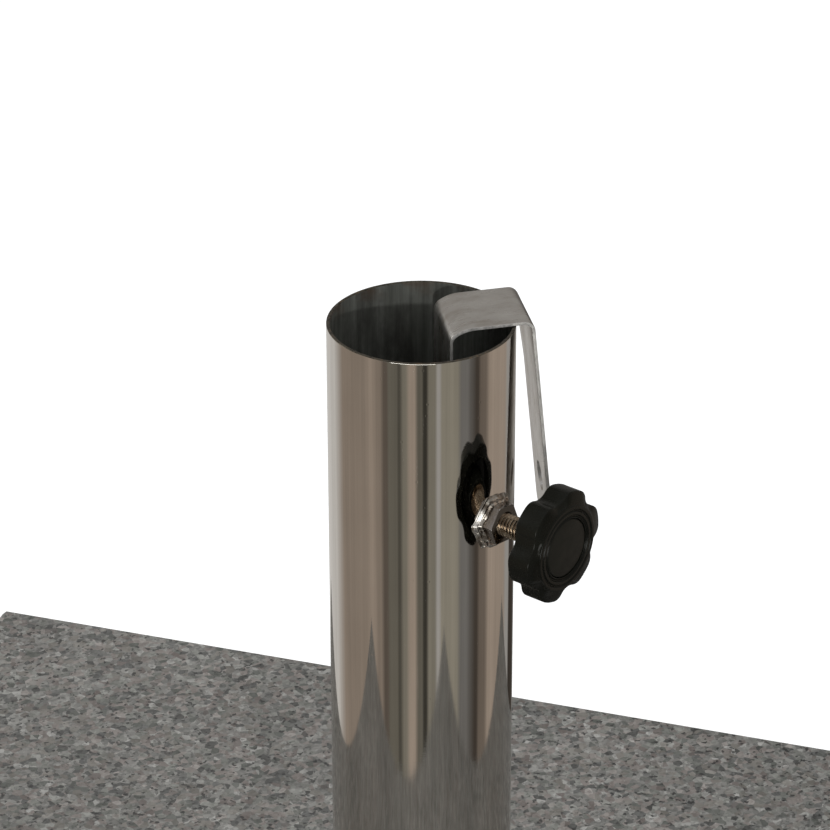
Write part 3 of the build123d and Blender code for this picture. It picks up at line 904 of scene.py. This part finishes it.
def make_clip(face, edge):
    """Bent strip with softened edges, rounded leg ends and a round hole in the outer leg."""
    path = clip_path()
    half_w = CLIP_WIDTH / 2
    lengths = [0.0]
    for before, after in zip(path, path[1:]):
        lengths.append(lengths[-1] + (after - before).length)
    ends = [CLIP_END_ROUND * (1 - math.cos(math.radians(step * 11.25))) for step in range(9)]
    stations = ends + [length for length in lengths if ends[-1] < length < lengths[-1] - ends[-1]]
    stations += [lengths[-1] - length for length in reversed(ends)]
    vertices = []
    for station in stations:
        outer, outward = path_place(path, lengths, station)
        end_gap = CLIP_END_ROUND - min(station, lengths[-1] - station, CLIP_END_ROUND)
        wide = half_w - CLIP_END_ROUND + math.sqrt(CLIP_END_ROUND ** 2 - end_gap ** 2)
        below = -outer.y / CLIP_TWIST_RUN if outer.x > CLIP_CORNER else 0.0
        twist = CLIP_TWIST * min(1.0, max(0.0, below))
        corners = ((-wide, 0), (-wide, -CLIP_THICK), (wide, -CLIP_THICK), (wide, 0))
        section = rounded([(*corner, CLIP_EDGE) for corner in corners], 3)
        for sideways, lift in section:
            lift += twist * (sideways + half_w) / CLIP_WIDTH
            vertices.append((outer.x + lift * outward.x, CLIP_OFFSET + sideways, outer.y + lift * outward.y))
    size = len(section)
    faces = strip_faces(len(stations), size)
    faces.append(tuple(range(size)))
    faces.append(tuple(reversed(range((len(stations) - 1) * size, len(stations) * size))))
    clip = new_object("pressure_clip", vertices, faces, 35)
    bm = bmesh.new()
    bm.from_mesh(clip.data)
    bmesh.ops.recalc_face_normals(bm, faces=bm.faces)
    bm.to_mesh(clip.data)
    bm.free()
    leg = CLIP_CORNER + (CLIP_HOLE_BELOW_RIM + CLIP_THICK) * math.tan(CLIP_LEAN)
    punch = lathe("punch", [(0.0, -PUNCH_REACH), (CLIP_HOLE_R, -PUNCH_REACH), (CLIP_HOLE_R, PUNCH_REACH),
                            (0.0, PUNCH_REACH)], 64)
    through = Matrix.Rotation(math.pi / 2 + CLIP_LEAN, 4, "Y")
    move_mesh(punch, Matrix.Translation((leg, CLIP_OFFSET, -CLIP_HOLE_BELOW_RIM)) @ through)
    cut(clip, punch)
    shade(clip, 35)
    for polygon in clip.data.polygons:
        polygon.material_index = 1 if abs(polygon.normal.y) > 0.8 else 0
    move_mesh(clip, clip_matrix())
    return finish_piece(clip, "clip", ["spring_clip"], "satin_stainless", face, edge)


def make_rosette(material):
    """Pressed cover: polished sheet with a rolled lip, a cone and a collar."""
    low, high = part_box("cover_rosette")
    outer = high.x
    inner = TUBE_R + ROSETTE_GAP
    collar = inner + ROSETTE_SHEET
    lip = low.z + ROSETTE_LIP
    shift = ROSETTE_SHEET * math.hypot(1, ROSETTE_SLOPE)

    def cone(radius):
        return lip + ROSETTE_SLOPE * (outer - radius)

    inside = outer - ROSETTE_SHEET
    outline = rounded([
        (outer, low.z, ROSETTE_EDGE), (outer, lip, ROSETTE_LIP_BEND),
        (collar, cone(collar), ROSETTE_COLLAR_BEND), (collar, high.z, ROSETTE_COLLAR_EDGE),
        (inner, high.z, ROSETTE_COLLAR_EDGE),
        (inner, cone(inner) - shift, ROSETTE_COLLAR_BEND + ROSETTE_SHEET),
        (inside, cone(inside) - shift, 1.8 * MM), (inside, low.z, ROSETTE_EDGE)], 10)
    rosette = lathe("rosette", outline, 256, 60)
    return finish_piece(rosette, "root", ["cover_rosette"], "polished_stainless", material)


def dress(node, material):
    """Gives a carried-over CAD node its material."""
    mesh = frame["nodes"][node].data
    mesh.materials.clear()
    mesh.materials.append(material)


def make_pieces():
    """Every piece with its material: the rebuilt ones, then those carried over from the CAD."""
    polished = polished_steel()
    black = moulded_plastic(
        "knob_plastic", (0.0035, 0.0036, 0.0026), (0.005, 0.0052, 0.0038), 0.20, 0.32, 0.06)
    cap_black = moulded_plastic(
        "cap_plastic", (0.0055, 0.0056, 0.0042), (0.008, 0.0082, 0.0062), 0.34, 0.48, 0.12)
    pad_black = moulded_plastic(
        "pad_plastic", (0.03, 0.03, 0.03), (0.045, 0.045, 0.045), 0.45, 0.6, 0.15)
    zinc = plated_steel("zinc_plate", (0.42, 0.43, 0.42), (0.66, 0.66, 0.64))
    plate = plated_steel("raw_plate", (0.36, 0.35, 0.33), (0.55, 0.54, 0.52))
    spring = plated_steel("spring_steel", (0.12, 0.12, 0.13), (0.22, 0.22, 0.23))
    weld = weld_steel()
    thread = thread_steel()
    make_tube(polished, cut_edge(), tube_inside())
    # nut_front is a very dark copy of the nut steel, painted shade on the front face and in the bore;
    # nut_edge is a pale copy, a painted highlight along the bevels.
    make_nut(nut_steel("nut_side", (0.40, 0.34, 0.28), (0.44, 0.41, 0.40), 0.10, 0.26),
             nut_steel("nut_front", (0.06, 0.05, 0.045), (0.11, 0.095, 0.08), 0.20, 0.36),
             nut_steel("nut_edge", (0.62, 0.60, 0.57), (0.85, 0.83, 0.80), 0.25, 0.40))
    make_weld(weld)
    make_screw(thread)
    make_knob(black)
    make_cap(cap_black)
    make_clip(satin_steel(), sheared_edge())
    make_rosette(polished)
    dress("granite_slab", granite())
    dress("slab_feet", rubber("foot_rubber", (0.018, 0.018, 0.018)))
    dress("base_gasket", rubber("gasket_rubber", (0.014, 0.014, 0.014)))
    dress("foot_plugs", nylon())
    dress("screw_pad", pad_black)
    dress("knob_insert", thread)
    dress("flange_weld", weld)
    dress("tube_flange", plate)
    dress("anchor_spring_washer", spring)
    for node in ("foot_screws", "anchor_bolt", "anchor_washer", "anchor_nut"):
        dress(node, zinc)


# ---- stage, light and camera

def make_floor():
    """Plain pale floor."""
    s = Shader("floor", Roughness=0.9, Specular_IOR_Level=0.1)
    s.surface.inputs["Base Color"].default_value = (0.93, 0.93, 0.93, 1)
    reach = 8.0
    corners = [(-reach, -reach, 0), (reach, -reach, 0), (reach, reach, 0), (-reach, reach, 0)]
    floor = new_object("floor", corners, [(0, 1, 2, 3)])
    floor.data.materials.append(s.material)


# Cards and flags that stand round the object in the studio and show only in its reflections:
# (first and last azimuth in degrees, 0 at the camera and rising to its right; hue; brightness).
NEUTRAL = (1.0, 0.97, 0.93)
CREAM = (1.0, 0.93, 0.77)
TAN = (1.0, 0.83, 0.69)
SURROUND = (
    (-162, -126, NEUTRAL, 0.64), (-108, -72, TAN, 0.32), (-64, -57, TAN, 0.37), (-54, -49, TAN, 0.29),
    (-45, -41, TAN, 0.14), (-39, -29, CREAM, 0.17), (-27, -25, CREAM, 0.10), (-21, -18, CREAM, 0.25),
    (-13, -8, TAN, 0.42), (-4, 1, CREAM, 0.15), (2.5, 6, CREAM, 0.05), (9, 16, CREAM, 0.25),
    (19, 21.5, NEUTRAL, 0.44), (24, 43, CREAM, 0.32), (48, 56, NEUTRAL, 0.20), (68, 71, TAN, 0.07),
    (75, 83, TAN, 0.19), (89, 120, TAN, 0.40), (126, 134, NEUTRAL, 0.38), (138, 154, TAN, 0.05))
SURROUND_R = 0.43            # just outside the slab's corners
SURROUND_ROWS = (0.001, 0.29, 0.30, 0.43, 0.445, 0.47, 0.49, 0.51, 0.78, 0.80, 1.15)  # heights of its points
BANDS_TOP = 0.48             # plain wall above
SURROUND_ABOVE = (0.38, 0.365, 0.345)
# Bright windows: first and last azimuth, lowest and highest row, glow.
WINDOWS = ((-118, -92, 0.50, 0.79, (2.6, 2.65, 2.7)), (-34, 16, 0.295, 0.44, (5.4, 5.4, 5.2)))


def make_surround():
    """Studio surround that only reflections see: its walls carry the light and dark bands."""
    segments = 360
    vertices = []
    for height in SURROUND_ROWS:
        for segment in range(segments):
            angle = 2 * math.pi * segment / segments
            vertices.append((SURROUND_R * math.cos(angle), SURROUND_R * math.sin(angle), height))
    faces = strip_faces(len(SURROUND_ROWS), segments)
    wall = new_object("surround", vertices, [tuple(reversed(face)) for face in faces])
    material = bpy.data.materials.new("surround")
    material.use_nodes = True
    tree = material.node_tree
    tree.nodes.clear()
    attribute = tree.nodes.new("ShaderNodeVertexColor")
    attribute.layer_name = "bands"
    emission = tree.nodes.new("ShaderNodeEmission")
    output = tree.nodes.new("ShaderNodeOutputMaterial")
    tree.links.new(attribute.outputs["Color"], emission.inputs["Color"])
    tree.links.new(emission.outputs[0], output.inputs["Surface"])
    bands = wall.data.color_attributes.new("bands", "FLOAT_COLOR", "POINT")
    toward_camera = math.atan2(-math.cos(CAMERA_AZIMUTH), math.sin(CAMERA_AZIMUTH))
    for index, vertex in enumerate(wall.data.vertices):
        azimuth = math.degrees(math.atan2(vertex.co.y, vertex.co.x) - toward_camera)
        azimuth = (azimuth + 180) % 360 - 180
        colour = surround_colour(azimuth) if vertex.co.z < BANDS_TOP else SURROUND_ABOVE
        for start, end, low, high, glow in WINDOWS:
            if start < azimuth < end and low < vertex.co.z < high:
                colour = glow
        bands.data[index].color = (*colour, 1)
    wall.data.materials.append(material)
    wall.visible_camera = False
    wall.visible_diffuse = False
    wall.visible_shadow = False
    wall.visible_transmission = False


def surround_colour(azimuth):
    """Colour of the surround at an azimuth in degrees: a card's own, or a blend between two cards."""
    stops = []
    for start, end, hue, level in SURROUND:
        stops += [(start, hue, level), (end, hue, level)]
    stops = [(stops[-1][0] - 360, *stops[-1][1:]), *stops, (stops[0][0] + 360, *stops[0][1:])]
    for (start, hue, level), (end, next_hue, next_level) in zip(stops, stops[1:]):
        if start <= azimuth <= end:
            share = (azimuth - start) / (end - start)
            return tuple(a * level * (1 - share) + b * next_level * share for a, b in zip(hue, next_hue))
    raise ValueError(azimuth)


def make_light():
    """Even white world, three large soft boxes and a narrow lamp into the tube's mouth."""
    world = bpy.data.worlds.new("studio")
    bpy.context.scene.world = world
    world.use_nodes = True
    background = world.node_tree.nodes["Background"]
    background.inputs["Color"].default_value = (0.97, 0.985, 1.0, 1)
    background.inputs["Strength"].default_value = 0.62
    for name, place, size, power in (
            ("key", (-1.1, -0.9, 1.9), 1.3, 26.0), ("fill", (1.3, -0.7, 1.5), 1.0, 10.0),
            ("back", (-0.2, 1.6, 1.7), 1.4, 16.0)):
        lamp = bpy.data.lights.new(name, "AREA")
        lamp.shape = "SQUARE"
        lamp.size = size
        lamp.energy = power
        holder = bpy.data.objects.new(name, lamp)
        holder.location = place
        aim = Vector((0, 0, 0.25)) - Vector(place)
        holder.rotation_euler = aim.to_track_quat("-Z", "Y").to_euler()
        holder.visible_glossy = False
        bpy.context.scene.collection.objects.link(holder)
    snoot = bpy.data.lights.new("snoot", "SPOT")
    snoot.energy = 75.0
    snoot.spot_size = math.radians(6.5)
    snoot.spot_blend = 0.5
    snoot.shadow_soft_size = 0.02
    holder = bpy.data.objects.new("snoot", snoot)
    turn = CAMERA_AZIMUTH + math.radians(2)
    rise = math.radians(7.5)
    distance = 1.6
    back = Vector((math.sin(turn) * math.cos(rise), -math.cos(turn) * math.cos(rise), math.sin(rise)))
    holder.location = Vector((0, 0, RIM)) + distance * back
    holder.rotation_euler = back.to_track_quat("Z", "Y").to_euler()
    holder.visible_glossy = False
    bpy.context.scene.collection.objects.link(holder)


def make_camera():
    """Long lens looking down on the rim, the slab turned a little to the right."""
    data = bpy.data.cameras.new("camera")
    data.lens = LENS
    data.sensor_width = SENSOR
    data.clip_start = 0.05
    data.clip_end = 50.0
    camera = bpy.data.objects.new("camera", data)
    turn = Matrix.Rotation(CAMERA_AZIMUTH, 4, "Z")
    look = Vector((
        math.sin(CAMERA_YAW) * math.cos(CAMERA_PITCH), math.cos(CAMERA_YAW) * math.cos(CAMERA_PITCH),
        -math.sin(CAMERA_PITCH)))
    right = Vector((math.cos(CAMERA_YAW), -math.sin(CAMERA_YAW), 0))
    upward = right.cross(look)
    tilted_right = math.cos(CAMERA_ROLL) * right + math.sin(CAMERA_ROLL) * upward
    tilted_up = -math.sin(CAMERA_ROLL) * right + math.cos(CAMERA_ROLL) * upward
    pose = Matrix((tilted_right, tilted_up, -look)).transposed().to_4x4()
    camera.matrix_world = turn @ Matrix.Translation((0, -CAMERA_BACK, RIM + CAMERA_ABOVE_RIM)) @ pose
    bpy.context.scene.collection.objects.link(camera)
    bpy.context.scene.camera = camera


bpy.context.scene.view_settings.view_transform = "Standard"
make_camera()
make_pieces()
make_floor()
make_surround()
make_light()
